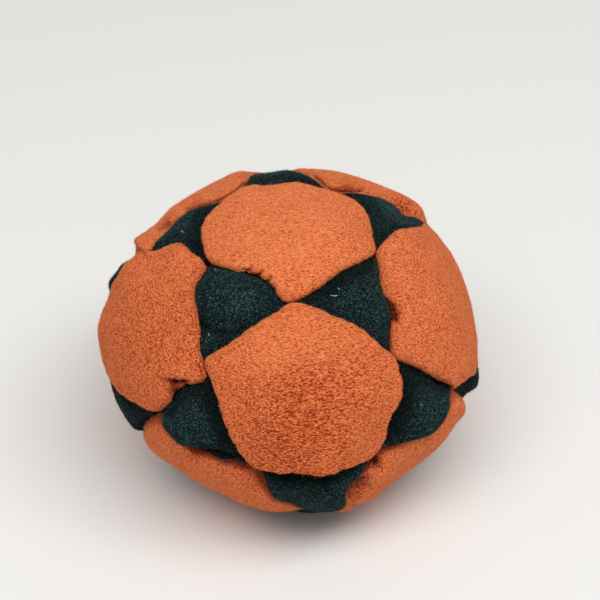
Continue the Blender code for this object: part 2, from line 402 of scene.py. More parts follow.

# Folds and dents, and bulges where the depth is below 0, by panel: the depth in millimetres, the width
# in pixels, and the pixels that each runs through. The depth of a fold also darkens its colour: painted
# shade.
FOLDS = {
    "orange_upper_5": [
        (0.95, 3.2, (171, 382), (186, 384)), (0.40, 3.0, (160, 380), (173, 382)),
        (0.55, 6.0, (171, 390), (178, 393)), (-0.35, 6.0, (176, 371), (196, 371)),
        (-0.20, 4.0, (197, 330), (203, 337)),
    ],
    "orange_upper_2": [
        (0.85, 6.0, (386, 306), (393, 315)), (0.40, 3.0, (388, 322), (387, 338), (389, 352)),
        (0.22, 2.4, (388, 309), (399, 305)), (0.25, 2.4, (389, 318), (401, 323)),
    ],
    "orange_lower_1": [
        (1.00, 4.5, (370, 457), (376, 463)), (0.32, 2.4, (357, 482), (368, 477)),
        (0.35, 2.6, (356, 489), (370, 486)), (0.45, 5.0, (352, 484), (364, 482)),
        (-0.60, 9.0, (455, 404), (460, 410)),
    ],
    "orange_upper_4": [
        (0.60, 2.2, (220, 200), (233, 191), (245, 184)), (0.50, 2.6, (166, 231), (175, 221), (187, 211)),
        (0.90, 3.0, (187, 210), (198, 206), (216, 202)), (0.55, 2.6, (159, 228), (167, 223)),
    ],
    "orange_upper_3": [
        (0.50, 2.4, (314, 176), (318, 179), (322, 184)), (0.85, 3.2, (328, 188), (342, 190), (362, 188)),
        (0.22, 5.0, (392, 208), (400, 211)),
    ],
    "orange_upper_1": [(-0.18, 9.0, (262, 352), (280, 372))],
    "green_crown_5": [
        (0.50, 3.6, (198, 322), (216, 333), (236, 334), (246, 328)), (-0.22, 9.0, (236, 285), (246, 310)),
        (0.35, 3.0, (202, 288), (202, 310), (204, 336)),
    ],
    "green_crown_1": [(-0.18, 8.0, (352, 268), (372, 300))],
    "green_crown_4": [(-0.35, 6.0, (160, 244), (180, 226), (200, 214))],
    "green_upper_5": [
        (-0.35, 5.0, (168, 424), (182, 440), (226, 443)),
        (0.95, 4.0, (186, 451), (200, 453), (222, 454), (234, 460)),
    ],
    "orange_top": [
        (0.45, 1.8, (246, 273), (251, 266)), (0.50, 1.8, (256, 278), (262, 270)),
        (0.45, 1.8, (265, 285), (271, 277)), (0.35, 2.2, (243, 270), (258, 278), (274, 290)),
    ],
    "green_lower_1": [
        (-0.50, 6.0, (325, 505), (336, 504)), (0.40, 4.0, (278, 477), (320, 482), (348, 475)),
    ],
    "green_upper_1": [(0.45, 3.2, (400, 366), (420, 374), (440, 382))],
    "green_upper_4": [(-0.70, 8.0, (118, 266), (112, 282))],
    "green_upper_2": [(-1.30, 7.0, (463, 262), (468, 280))],
}

# Where the nap is worn pale, above 0, or lies dark and rippled, below it, by panel: the pixel in the
# middle of the patch, its radius in pixels and its strength
# Many of the dark patches, below 0, are painted shade in the gaps under neighbouring edges and in pinches.
WEAR_AND_PAINTED_SHADE = {
    "orange_upper_1": [
        (266, 364, 18, 0.55), (330, 335, 30, 0.20), (300, 415, 62, -0.75), (280, 455, 40, -0.25),
        (290, 345, 34, 0.45), (310, 420, 60, -0.25),
    ],
    "orange_upper_5": [
        (140, 350, 50, -0.15), (150, 330, 90, -0.45), (176, 389, 7, -2.40), (203, 368, 6, -1.40),
    ],
    "orange_top": [(250, 265, 30, 0.15), (290, 225, 90, 0.42), (256, 277, 7, -1.40)],
    "orange_lower_5": [
        (180, 465, 40, 0.10), (200, 470, 70, -0.15), (195, 453, 6, -1.60), (246, 467, 8, -1.40),
        (262, 480, 8, -1.40),
    ],
    "green_upper_5": [(205, 452, 9, -1.50), (222, 453, 9, -1.50), (217, 402, 12, -0.90)],
    "green_lower_5": [(135, 412, 30, -1.30)],
    "green_lower_2": [(465, 385, 20, -1.00)],
    "green_crown_4": [(202, 246, 12, -1.20)],
    "green_upper_2": [(466, 268, 12, -1.00)],
    "green_crown_2": [(395, 210, 30, 0.40)],
    "green_crown_5": [(212, 322, 14, -0.80), (238, 300, 16, 0.50)],
    "green_upper_1": [(400, 425, 18, -1.00)],
    "green_lower_1": [(290, 477, 18, -1.20), (320, 479, 18, -1.20)],
    "orange_upper_2": [(430, 310, 90, -0.10), (392, 314, 8, -1.80)],
    "orange_lower_1": [(410, 465, 80, 0.30), (352, 488, 10, -1.80), (375, 460, 7, -2.40)],
    "orange_upper_4": [(190, 200, 60, 0.25), (172, 226, 9, -1.20), (196, 206, 9, -1.20)],
    "orange_upper_3": [(348, 190, 8, -2.00), (404, 205, 12, -1.10)],
}

# Strands of pale lint that lie on the cloth, by panel: the pixels that each runs through
LINT = {
    "orange_upper_1": [((277, 332), (278, 335), (277, 338)), ((246, 348), (247, 352), (246, 357))],
    "orange_top": [((266, 252), (269, 253))],
    "green_crown_1": [((331, 295), (334, 296), (337, 295)), ((338, 288), (340, 289))],
    "green_crown_4": [((182, 230), (184, 232))],
    "green_crown_5": [((208, 333), (209, 336)), ((214, 268), (216, 270))],
}


# Small helpers on arrays of points


def length(rows):
    return np.sqrt((rows * rows).sum(-1))


def unit(rows):
    return rows / length(rows)[..., None]


def after(rows):
    """The same rows, each moved up one place."""
    return np.roll(rows, -1, axis=0)


def smooth(x, low, high):
    """0 below low, 1 above high, with a soft turn at both."""
    share = np.clip((x - low) / (high - low), 0, 1)
    return share * share * (3 - 2 * share)


def scrambled(cells, seed):
    """A whole number for each lattice point, mixed so that neighbours share nothing."""
    x, y, z, s = (value * factor for value, factor in zip((*cells.T, seed), SCRAMBLERS))
    mixed = x ^ y ^ z ^ s
    mixed = (mixed ^ (mixed >> 13)) * last_scrambler
    return (mixed ^ (mixed >> 16)) & largest_code


def noise(points, size, seed):
    """Soft random heights, about -1 to 1, whose bumps are about one size apart."""
    scaled = points / size
    cell = np.floor(scaled).astype(np.int64)
    within = scaled - cell
    fade = within**3 * (within * (within * 6 - 15) + 10)
    total = np.zeros(len(points))
    for corner in range(8):
        step = np.array([corner >> axis & 1 for axis in range(3)])
        code = scrambled(cell + step, seed)
        levels = np.stack([code // slope_levels**axis % slope_levels for axis in range(3)], 1)
        slopes = levels / (slope_levels // 2) - 1
        weight = np.where(step, fade, 1 - fade).prod(1)
        total += weight * (slopes * (within - step)).sum(1)
    return total * noise_gain


# Layout of the panels, as in the part's source


def direction(polar, azimuth):
    level = math.sin(polar)
    return np.array([level * math.cos(azimuth), level * math.sin(azimuth), math.cos(polar)])


def orange_middles():
    middles = {"top": direction(0, 0)}
    rings = (("upper", ring_polar, upper_ring_turn), ("lower", math.pi - ring_polar, lower_ring_turn))
    for name, polar, turn in rings:
        for i in range(ring_count):
            middles[f"{name}_{i + 1}"] = direction(polar, turn + i * (math.tau / ring_count))
    middles["base"] = direction(math.pi, 0)
    return middles


MIDDLES = orange_middles()


def in_order_round(middle, points):
    """The points in anticlockwise order round a direction, as seen from outside."""
    across = unit(points[0] - middle * points[0].dot(middle))
    along = np.cross(middle, across)
    return np.array(sorted(points, key=lambda p: math.atan2(p.dot(along), p.dot(across)) % math.tau))


def orange_layout():
    layout = []
    for name, middle in MIDDLES.items():
        near = [other for other in MIDDLES.values() if other is not middle and middle.dot(other) > 0]
        corners = [unit(middle + other) for other in near]
        layout.append((name, middle, in_order_round(middle, corners)))
    return layout


def turn_from_front(way):
    turn = math.atan2(way[1], way[0]) - upper_ring_turn
    return round(turn % math.tau, sorting_digits) % round(math.tau, sorting_digits)


def green_layout():
    found = []
    for c, b, a in combinations(MIDDLES.values(), 3):
        if min(a.dot(b), b.dot(c), c.dot(a)) > 0:
            middle = unit(a + b + c)
            corners = [unit(a + b), unit(b + c), unit(c + a)]
            found.append((middle, in_order_round(middle, corners)))
    found.sort(key=lambda entry: -round(entry[0][2], sorting_digits))
    layout = []
    for ring, name in enumerate(("crown", "upper", "lower", "foot")):
        members = found[ring * ring_count : (ring + 1) * ring_count]
        members.sort(key=lambda entry: turn_from_front(entry[0]))
        for i, (middle, corners) in enumerate(members):
            layout.append((f"{name}_{i + 1}", middle, corners))
    return layout


def edge_normals(corners):
    return unit(np.cross(corners, after(corners)))


def inset_corners(corners, inset):
    angle = inset / seam_half_height
    normals = edge_normals(corners)
    moved = []
    for before, behind, corner in zip(np.roll(normals, 1, axis=0), normals, corners):
        inward = (before + behind) * math.sin(angle) / (1 + before.dot(behind))
        moved.append(inward + corner * math.sqrt(1 - inward.dot(inward)))
    return np.array(moved)


def place(ways, rise):
    """Points at a height above the seam surface, along directions from the middle of the bag."""
    points = ways * SEAM_RADII
    return points * (1 + rise / length(points))[:, None]


# What the camera sees


def view_axes():
    e, a = view_elevation, view_azimuth
    right = np.array([math.cos(a), math.sin(a), 0])
    level = np.array([-math.sin(a), math.cos(a), 0])
    ahead = level * math.cos(e) - np.array([0, 0, math.sin(e)])
    return right, np.cross(right, ahead), ahead


RIGHT, UP, AHEAD = view_axes()
VIEWPOINT = -RIGHT * view_right - UP * view_up - AHEAD * view_distance


def seen(pixel, rise):
    """The point of the bag under a pixel of the photograph, from the bag's middle."""
    x, y = pixel
    ray = unit(AHEAD * focal_pixels + RIGHT * (x - half_picture) + UP * (half_picture - y))
    reach = SEAM_RADII + rise
    start, run = VIEWPOINT / reach, ray / reach
    nearest = -start.dot(run) / run.dot(run)
    miss = start + run * nearest
    spare = max(1 - miss.dot(miss), 0)
    return VIEWPOINT + ray * (nearest - math.sqrt(spare / run.dot(run)))


def pixels(points):
    """Where the photograph shows points that are given from the bag's middle."""
    away = points - VIEWPOINT
    scale = focal_pixels / (away @ AHEAD)
    return np.stack([half_picture + away @ RIGHT * scale, half_picture - away @ UP * scale], 1)


# The net of one face: rings of triangles from its middle to its edge


def along_sides(corners, steps):
    """Points along every side of a panel's outline, in even steps."""
    along = (np.arange(steps) / steps)[None, :, None]
    return corners[:, None] * (1 - along) + after(corners)[:, None] * along


def net_ways(corners, rings):
    """Directions of every vertex, ring by ring from the middle, crowded towards the edge."""
    hub = corners.mean(0)
    rows = [hub[None]]
    for ring in range(1, rings + 1):
        share = 1 - (1 - ring / rings) ** edge_crowding
        rows.append((hub + (along_sides(corners, ring) - hub) * share).reshape(-1, 3))
    return unit(np.concatenate(rows))


def border_ways(corners, steps):
    return unit(along_sides(corners, steps).reshape(-1, 3))


def ring_start(ring, sides):
    return 1 + sides * ring * (ring - 1) // 2 if ring else 0


def net_faces(sides, rings):
    """Triangles between each ring and the next, anticlockwise from outside."""
    faces = []
    for ring in range(rings):
        inner, outer = ring_start(ring, sides), ring_start(ring + 1, sides)
        inner_count, outer_count = max(sides * ring, 1), sides * (ring + 1)
        step = np.arange(ring + 1)
        for side in range(sides):
            into, out = side * ring + step, side * (ring + 1) + step
            near, near_next = inner + into % inner_count, inner + (into + 1) % inner_count
            far, far_next = outer + out % outer_count, outer + (out + 1) % outer_count
            faces.append(np.stack([near, far, far_next], 1))
            faces.append(np.stack([near, far_next, near_next], 1)[:-1])
    return np.concatenate(faces)


def quads(a, b, c, d):
    """Two triangles for each four-sided face, whose corners are given in order round it."""
    halves = ((a, b, c), (a, c, d))
    return np.concatenate([np.stack(corners, -1).reshape(-1, 3) for corners in halves])


def band_faces(upper, lower, count):
    """The faces between two rings of vertices that start at upper and lower."""
    step = np.arange(count)
    following = (step + 1) % count
    return quads(upper + step, lower + step, lower + following, upper + following)


def rim_faces(fine, coarse, coarse_count):
    """Closes a finely cut ring against a coarse one that runs beside it."""
    step = np.arange(coarse_count)
    here, following = coarse + step, coarse + (step + 1) % coarse_count
    fine_count = coarse_count * inner_every
    half = inner_every // 2
    faces = []
    for i in range(inner_every):
        a = fine + (step * inner_every + i) % fine_count
        b = fine + (step * inner_every + i + 1) % fine_count
        faces.append(np.stack([a, here if i < half else following, b], 1))
    middle = fine + (step * inner_every + half) % fine_count
    faces.append(np.stack([middle, here, following], 1))
    return np.concatenate(faces)


def face_normals(points, faces):
    """The normal of each triangle, twice as long as its area."""
    a, b, c = points[faces.T]
    return np.cross(b - a, c - a)


def vertex_normals(points, faces):
    across = face_normals(points, faces)
    total = np.zeros_like(points)
    for i in range(3):
        for axis in range(3):
            total[:, axis] += np.bincount(faces[:, i], across[:, axis], len(points))
    return unit(total)


def joined(parts):
    """The points and triangles of many small meshes as one mesh."""
    starts = np.cumsum([0] + [len(points) for points, _ in parts])
    triangles = [faces + start for (_, faces), start in zip(parts, starts)]
    return np.concatenate([points for points, _ in parts]), np.concatenate(triangles)


# The shape of the cloth


def arc_profile(distance, arc_form, width):
    """Place across the seam and height above it, for a point that lies a distance in on the net."""
    radius, start = arc_form
    arc = radius * (start - math.pi / 2)
    arc_across = -radius * math.cos(start)
    gone = distance / width * (arc + width - arc_across)
    angle = start - np.minimum(gone, arc) / radius
    across = radius * (np.cos(angle) - math.cos(start)) + np.maximum(gone - arc, 0)
    height = radius * (np.sin(angle) - math.sin(start))
    return np.where(distance < width, across, distance), height


def profile(distance, overhang, form):
    """The cross-section of a panel whose edge hangs over its neighbour by a share, 1, or tucks under, 0."""
    over_across, over_height = arc_profile(distance, form.over, form.roll_width)
    under_across, under_height = arc_profile(distance, form.under, form.roll_width)
    across = under_across + (over_across - under_across) * overhang
    return across, under_height + (over_height - under_height) * overhang


def stitch_lobes(along, line_place):
    """1 between stitches and 0 at each stitch, along a side of a panel, for places from 0 to 1."""
    line = np.stack([along * stitch_count, np.full_like(along, 0.5), np.full_like(along, line_place)], 1)
    phase = along * stitch_count + stitch_drift * noise(line, stitch_drift_reach, 5)
    least, more = stitch_strength
    strength = least + more * noise(line, stitch_strength_reach, 9)
    return 1 - strength * (1 - np.abs(np.sin(math.pi * phase)) ** stitch_roundness)


def side_traits(ways, panel, across):
    """How each vertex shares in its nearest sides: stitch lobes, outward bow, overhang and painted gap
    shade.
    """
    nearness = across**-corner_sharpness
    nearness /= nearness.sum(1)[:, None]
    lobes = np.zeros(len(ways))
    bows = np.zeros(len(ways))
    sides = zip(panel.corners, after(panel.corners), panel.normals)
    for i, (start, end, normal) in enumerate(sides):
        turn = np.arctan2(ways @ np.cross(normal, start), ways @ start)
        along = np.clip(turn / math.acos(start.dot(end)), 0, 1)
        arch = np.sin(math.pi * along)
        stitched = 1 - stitch_lobes(along, panel.seed * lines_per_panel + i)
        lobes += nearness[:, i] * (1 - stitched * smooth(arch, *arch_fade))
        bows += nearness[:, i] * arch
    return lobes, bows, nearness @ panel.overhangs, nearness @ panel.gap_shades


def kept_apart(points, panel):
    """The points of an orange panel, each corner held back from the orange panel across the seam corner."""
    for corner, gap in panel.corner_gaps:
        stand = place(corner[None], np.zeros(1))[0]
        inward = unit(panel.middle - corner * corner.dot(panel.middle))
        clear = (points - stand) @ inward - gap
        points = points + np.outer(corner_softness * np.logaddexp(0, clear / -corner_softness), inward)
    return points


def depth_in(across):
    """How far in from the sides a place lies, rounded off in the corners."""
    return (across**-corner_sharpness).sum(-1) ** (-1 / corner_sharpness)


def cloth(ways, panel):
    """Places of the outer face, from the bag's middle, and each vertex's depth in the panel and its painted
    shade.
    """
    form, normals = panel.form, panel.normals
    across = np.maximum(seam_radius * np.arcsin(np.clip(ways @ normals.T, -1, 1)), weld)
    inward = (across ** -(corner_sharpness + 1)) @ normals
    inward = unit(inward - ways * (inward * ways).sum(1)[:, None])
    depth = depth_in(across)
    middle_depth = depth_in(seam_radius * np.arcsin(normals @ panel.middle))
    lobes, bows, overhang, gap_shade = side_traits(ways, panel, across)
    shift, height = profile(depth, overhang, form)
    shift = shift - depth
    to_corner = seam_radius * np.arccos(np.clip(ways @ panel.corners.T, -1, 1))
    cornered = np.exp(-((to_corner / corner_reach) ** 2)).sum(1)
    band = smooth(depth, 0, band_start) * (1 - smooth(depth, *band_fade))
    shift = shift + band * (form.corner_pull * cornered - form.bow * bows)
    shift = shift + band * form.scallop * (1 - lobes)
    sunk = band * form.scallop * scallop_sink_share * (1 - lobes)
    dome = np.minimum(depth / middle_depth, 1)
    height = height * (1 - corner_drop_share * cornered) - sunk + form.dome_rise * (1 - (1 - dome) ** 2)
    back = (ways - panel.middle)[:, 1] / math.sin(panel_half_angle)
    height = height * panel.rise * (1 - panel.back_fall * smooth(back, *back_fade))
    moved = unit(ways + inward * (shift / seam_radius)[:, None])
    # Painted shade: under a neighbour's edge that this panel tucks under, where the panel runs from the
    # seam away from the softbox, and in the seam's groove
    sheltered = 1 - smooth(inward @ unit(np.array(light_stand)), *shelter_fade)
    tucked = (1 - overhang) * sheltered * gap_shade * (1 - smooth(depth, *form.gap_shade))
    painted_shade = np.maximum(tucked, 1 - smooth(depth, 0, seam_shade_depth))
    return kept_apart(place(moved, height), panel), depth, painted_shade


# How this one bag lies off the regular layout


def spread(places, moves, reach):
    """The strength at each place with which the moves, spread out and added up, bring every place home."""
    places, moves = np.array(places), np.array(moves)
    shares = np.exp(-((places[:, None] - places[None]) ** 2).sum(-1) / reach**2)
    return places, np.linalg.solve(shares, moves), reach


def starts_and_moves(shifts):
    """The pixels that a table of shifts starts from, and how far each one moves."""
    rows = np.array([row for places in shifts.values() for row in places.values()], float)
    return list(rows[:, :2]), list(rows[:, 2:] - rows[:, :2])


def layout_nudge():
    """Moves in space that bring the seam corners, and the pulls, to their pixels."""
    scale = view_distance / focal_pixels
    height = np.array([corner_rise])
    corners = [place(unit(MIDDLES[a] + MIDDLES[b])[None], height)[0] for a, b in CORNER_PIXELS]
    steps = [seen(pixel, corner_rise) - corner for pixel, corner in zip(CORNER_PIXELS.values(), corners)]
    starts, pulls = starts_and_moves(PULLS)
    places = [seen(start, pull_rise) for start in starts]
    moves = [(RIGHT * x - UP * y) * scale for x, y in pulls]
    return spread(corners + places, steps + moves, pull_reach)


def picture_shift(shifts, reach, held=()):
    """Moves across the picture, in pixels, that bring each start to its end and hold some pixels still."""
    starts, moves = starts_and_moves(shifts)
    return spread([*starts, *held], moves + [np.zeros(2)] * len(held), reach)


NUDGE = layout_nudge()
SHIFTS = [
    picture_shift(EDGE_SHIFTS, edge_reach, CORNER_PIXELS.values()),
    picture_shift(OUTLINE_SHIFTS, outline_reach),
    picture_shift(FINE_SHIFTS, fine_reach),
    picture_shift(LOCAL_SHIFTS, local_reach),
]


def gathered(points, field):
    """The sum of the moves of one field at each point."""
    places, moves, reach = field
    total = np.zeros((len(points), len(moves[0])))
    for here, move in zip(places, moves):
        total += np.exp(-((points - here) ** 2).sum(1) / reach**2)[:, None] * move
    return total


def nudged(points):
    """The points moved to where the photograph has them: in space first, then across the picture."""
    points = points + gathered(points, NUDGE)
    for shift in SHIFTS:
        steps = gathered(pixels(points), shift)
        near = 1 - smooth(points @ AHEAD, *shift_fade)
        scale = (points - VIEWPOINT) @ AHEAD / focal_pixels * near
        points = points + (RIGHT * steps[:, :1] - UP * steps[:, 1:]) * scale[:, None]
    return points


def facing(points):
    """1 on the side of the bag that the photograph shows and 0 behind it."""
    return 1 - smooth(unit(points / SEAM_RADII**2) @ AHEAD, *far_side_fade)


def fold_depth(points, panel):
    """How deep the folds of one panel press in at each point."""
    depth = np.zeros(len(points))
    where = pixels(points)
    for deep, width, *line in FOLDS.get(panel.full_name, ()):
        line = np.array(line, float)
        nearest = np.full(len(points), np.inf)
        for start, end in zip(line, line[1:]):
            run = end - start
            share = np.clip(((where - start) @ run) / run.dot(run), 0, 1)
            nearest = np.minimum(nearest, length(where - start - share[:, None] * run))
        depth += deep * mm * np.exp(-((nearest / width) ** 2))
    return depth * facing(points)


def wear_and_painted_shade(points, panel):
    """How worn, above 0, or how dark and rippled, below it, the nap is at each point; the dark is partly
    painted shade.
    """
    total = np.zeros(len(points))
    where = pixels(points)
    for x, y, radius, strength in WEAR_AND_PAINTED_SHADE.get(panel.full_name, ()):
        total += strength * np.exp(-((where - (x, y)) ** 2).sum(1) / radius**2)
    return total * facing(points) + wear_drift * noise(points, wear_size, panel.noise_seed + 7)


def nap_height(points, worn, panel):
    """The lie of the nap, from about -1 in its creases to 1 on its tufts."""
    seed = panel.noise_seed
    level = np.cross([0, 0, 1], panel.middle)
    level = level / length(level) if length(level) > least_level else np.array([1, 0, 0])
    spacing, stretch, streaks = NAPS.get(panel.full_name, panel.form.nap)
    squeezed = points - np.outer(points @ level * (1 - 1 / stretch), level)
    tufts = noise(squeezed, spacing, seed + 2)
    if panel.form is GREEN:
        tufts = -np.abs(tufts) ** curl_power
    base, gain = panel.form.nap_height
    fine = noise(squeezed, fine_nap_share * spacing, seed + 3)
    height = base + gain * tufts + fine_nap_height * fine
    if streaks:
        dark = smooth(-noise(squeezed, streak_size_share * spacing, seed + 4), *streak_fade)
        height = height - streaks * dark * (1 - np.clip(worn, *streak_wear))
    return height


def roughened(points, faces, depth, nap, crease, panel):
    """The face with its folds, the unevenness of the fill and the nap of the suede, along its normals."""
    form, seed = panel.form, panel.noise_seed
    uneven = noise(points, swell_size, seed) + fine_swell_share * noise(points, fine_swell_size, seed + 1)
    swell = smooth(depth, *swell_fade) * (swell_height * uneven)
    height = swell - smooth(depth, 0, fold_start) * crease + form.grain * nap
    return points + vertex_normals(points, faces) * height[:, None]


def settled(points, lift=0.0):
    """The points as the ground leaves them: flat on the foot, with a soft turn up to the round side."""
    above = points[:, 2] + centre_height - lift
    flat = np.clip(above + ground_blend, 0, None) ** 2 / (4 * ground_blend)
    level = np.where(above >= ground_blend, above, flat)
    return np.column_stack([points[:, :2], level - centre_height + lift])


def inner_face(ways, panel, skin):
    """The inside of a panel, a skin below its outer face and pressed in by its folds."""
    cover, depth, _ = cloth(ways, panel)
    seam_height = length(place(unit(cover), np.zeros(len(cover))))
    points = nudged(place(ways, length(cover) - seam_height - skin))
    pressed = fold_depth(points, panel) * smooth(depth, skin, skin + fold_start)
    return settled(points - unit(points) * pressed[:, None], skin)


def allowance_parts(border, upper, total, inwards):
    """Rings of vertices down from a border, and the bands between them."""
    count = len(border)
    parts, triangles = [], []
    for i in range(allowance_rings):
        down = allowance_depth * (i + 1) / allowance_rings
        parts.append(nudged(place(border, np.full(count, -down))))
        band = band_faces(upper, total, count)
        triangles.append(band[:, ::-1] if inwards else band)
        upper = total
        total += count
    return parts, triangles, upper, total


def panel_shell(panel):
    """Vertices, triangles and traits of one closed cloth shell, and how many triangles its face has."""
    corners, sides, rings = panel.corners, len(panel.corners), panel.rings
    ways = net_ways(corners, rings)
    faces = net_faces(sides, rings)
    points, depth, painted_shade = cloth(ways, panel)
    points = nudged(points)
    # The wear value, partly painted shade in the gaps, also sets how flat the nap lies
    worn = wear_and_painted_shade(points, panel)
    nap = nap_height(points, worn, panel) * (1 - worn_flat_share * np.clip(worn, -1, 1))
    crease = fold_depth(points, panel)
    points = settled(roughened(points, faces, depth, nap, crease, panel))
    border = ways[-sides * rings :]
    total = len(points)
    hem, hem_bands, outer_rim, total = allowance_parts(border, total - len(border), total, False)

    inner_rings = rings // inner_every
    inner_ways = net_ways(inset_corners(corners, cloth_thickness), inner_rings)
    under = inner_face(inner_ways, panel, cloth_thickness)
    lining = net_faces(sides, inner_rings)[:, ::-1] + total
    border = inner_ways[-sides * inner_rings :]
    total += len(under)
    inner_hem, inner_bands, inner_rim, total = allowance_parts(border, total - len(border), total, True)

    points = np.concatenate([points, *hem, under, *inner_hem])
    rim = rim_faces(outer_rim, inner_rim, len(border))
    triangles = np.concatenate([faces, *hem_bands, lining, *inner_bands, rim])
    hidden = total - len(depth)
    # Traits for the colour: the painted shade, the nap, the wear with its painted shade, and the depth of
    # the folds
    traits = {"painted_shade": np.concatenate([painted_shade, np.ones(hidden)])}
    for label, values in (("nap", nap), ("wear_and_painted_shade", worn), ("crease", crease)):
        traits[label] = np.concatenate([values, np.zeros(hidden)])
    return points, triangles, traits, len(faces)


def add_object(name, data):
    item = bpy.data.objects.new(name, data)
    bpy.context.scene.collection.objects.link(item)
    return item


def make_piece(name, points, triangles, material, attributes=None):
    """A piece that rides on the bag, from points given from the bag's middle."""
    mesh = bpy.data.meshes.new(name)
    mesh.from_pydata(points + np.array([0, 0, centre_height]), [], triangles)
    for label, values in (attributes or {}).items():
        layer = mesh.attributes.new(label, "FLOAT", "POINT")
        layer.data.foreach_set("value", values.astype(np.float32))
    mesh.shade_smooth()
    mesh.materials.append(material)
    mesh.update()
    piece = add_object(name, mesh)
    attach(piece, "root")
    return piece


def panel_facts(name, middle, seam_corners, form, seed, greens):
    """All that the shape of one panel depends on."""
    is_orange = form is ORANGE
    full_name = f"{form.colour}_{name}"
    corners = inset_corners(seam_corners, sewn_gap / 2)
    normals = edge_normals(corners)
    others = greens if is_orange else list(MIDDLES.items())
    overhangs, gap_shades, corner_gaps = [], [], []
    for normal, start, end in zip(normals, corners, after(corners)):
        beyond = unit(unit(start + end) - normal * neighbour_offset)
        neighbour = max(others, key=lambda other: beyond.dot(other[1]))[0]
        pair = (name, neighbour) if is_orange else (neighbour, name)
        rings = tuple(place_name.split("_")[0] for place_name in pair)
        share = OVERHANG_SHARES.get(pair, OVERHANG_SHARES[rings])
        overhangs.append(share if is_orange else 1 - share)
        gap_shades.append(GAP_SHADE_SHARES.get(pair, 1.0))
    for corner in seam_corners if is_orange else []:
        meeting = sorted(MIDDLES, key=lambda other: corner.dot(MIDDLES[other]))[-2:]
        corner_gaps.append((corner, CORNER_GAPS.get(frozenset(meeting), plain_corner_gap)))
    return Facts(
        name=name,
        full_name=full_name,
        rings=RING_COUNTS.get(full_name, form.rings),
        middle=middle,
        seam_corners=seam_corners,
        corners=corners,
        normals=normals,
        form=form,
        seed=seed,
        noise_seed=seed * seeds_per_panel,
        overhangs=np.array(overhangs),
        gap_shades=np.array(gap_shades),
        corner_gaps=corner_gaps,
        rise=RISE_SHARES.get(name, 1.0) if is_orange else 1.0,
        back_fall=BACK_FALL_SHARES.get(name, 0.0) if is_orange else 0.0,
    )


def make_panel(panel, material):
    """One panel's cloth, and the fibres and lint that lie on it."""
    form = panel.form
    points, triangles, traits, face_count = panel_shell(panel)
    name = f"suede_{panel.full_name}"
    piece = make_piece(name, points, triangles, material, traits)
    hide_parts(f"{form.colour}_panel_{panel.name}")
    return fibres(points, triangles[:face_count], panel), lint(points, panel)


def fibres(points, faces, panel):
    """Thin three-sided spikes that stand on a face, leaning every way, as points and triangles."""
    draw = np.random.default_rng(panel.seed)
    across = face_normals(points, faces)
    area = length(across) / 2
    count = int(area.sum() * panel.form.fibre_density)
    picked = np.searchsorted(np.cumsum(area), draw.random(count) * area.sum())
    picked = np.minimum(picked, len(faces) - 1)
    share = np.sort(draw.random((count, 2)), axis=1)
    shares = share[:, 0], share[:, 1] - share[:, 0], 1 - share[:, 1]
    a, b, c = (corner * part[:, None] for corner, part in zip(points[faces[picked].T], shares))
    foot = a + b + c
    normal = unit(across[picked])
    way = unit(normal + draw.normal(size=(count, 3)) * fibre_lean)
    tall = fibre_length * (shortest_share + draw.random(count))
    side = unit(np.cross(way, normal + draw.normal(size=(count, 3))))
    other = np.cross(way, side)
    wide = fibre_radius * (thinnest_share + width_spread_share * draw.random(count))
    foot = foot - normal * fibre_radius
    corners = []
    for i in range(3):
        turn = math.tau * i / 3
        corners.append(foot + (side * math.cos(turn) + other * math.sin(turn)) * wide[:, None])
    tip = foot + way * tall[:, None]
    spikes = np.stack([*corners, tip], 1).reshape(-1, 3)
    first = np.arange(count)[:, None, None] * 4
    return spikes, (first + np.array([[0, 2, 1], [0, 1, 3], [1, 2, 3], [2, 0, 3]])[None]).reshape(-1, 3)


def strand(path):
    """A thin three-sided strand through a few points, as points and triangles."""
    along = unit(path[-1] - path[0])
    side = unit(np.cross(along, path[0]))
    out = np.cross(side, along)
    turns = math.tau * np.arange(3) / 3
    ring = (np.outer(np.cos(turns), side) + np.outer(np.sin(turns), out)) * lint_radius
    points = (path[:, None] + ring[None]).reshape(-1, 3)
    last = 3 * (len(path) - 1)
    step = np.arange(0, last, 3)[:, None]
    here, beside = step + np.arange(3), step + after(np.arange(3))
    sides = quads(here, beside, beside + 3, here + 3)
    return points, np.concatenate([sides, [[0, 2, 1], [last, last + 1, last + 2]]])


def lint(points, panel):
    """The strands of lint on one panel, laid on the nearest points of its face."""
    where = pixels(points)
    nearness = points @ AHEAD
    strands = []
    for line in LINT.get(panel.full_name, ()):
        path = []
        for pixel in line:
            away = ((where - pixel) ** 2).sum(1)
            close = np.flatnonzero(away < away.min() + 1)
            spot = points[close[np.argmin(nearness[close])]]
            path.append(spot + unit(spot) * (panel.form.grain + lint_radius))
        strands.append(strand(np.array(path)))
    return strands


def make_loose(name, tufts, material):
    """All the fibres of one colour, or all the lint, as one piece, held above the ground."""
    points, triangles = joined(tufts)
    points[:, 2] = np.maximum(points[:, 2], -centre_height)
    make_piece(name, points, triangles, material)


# What is inside


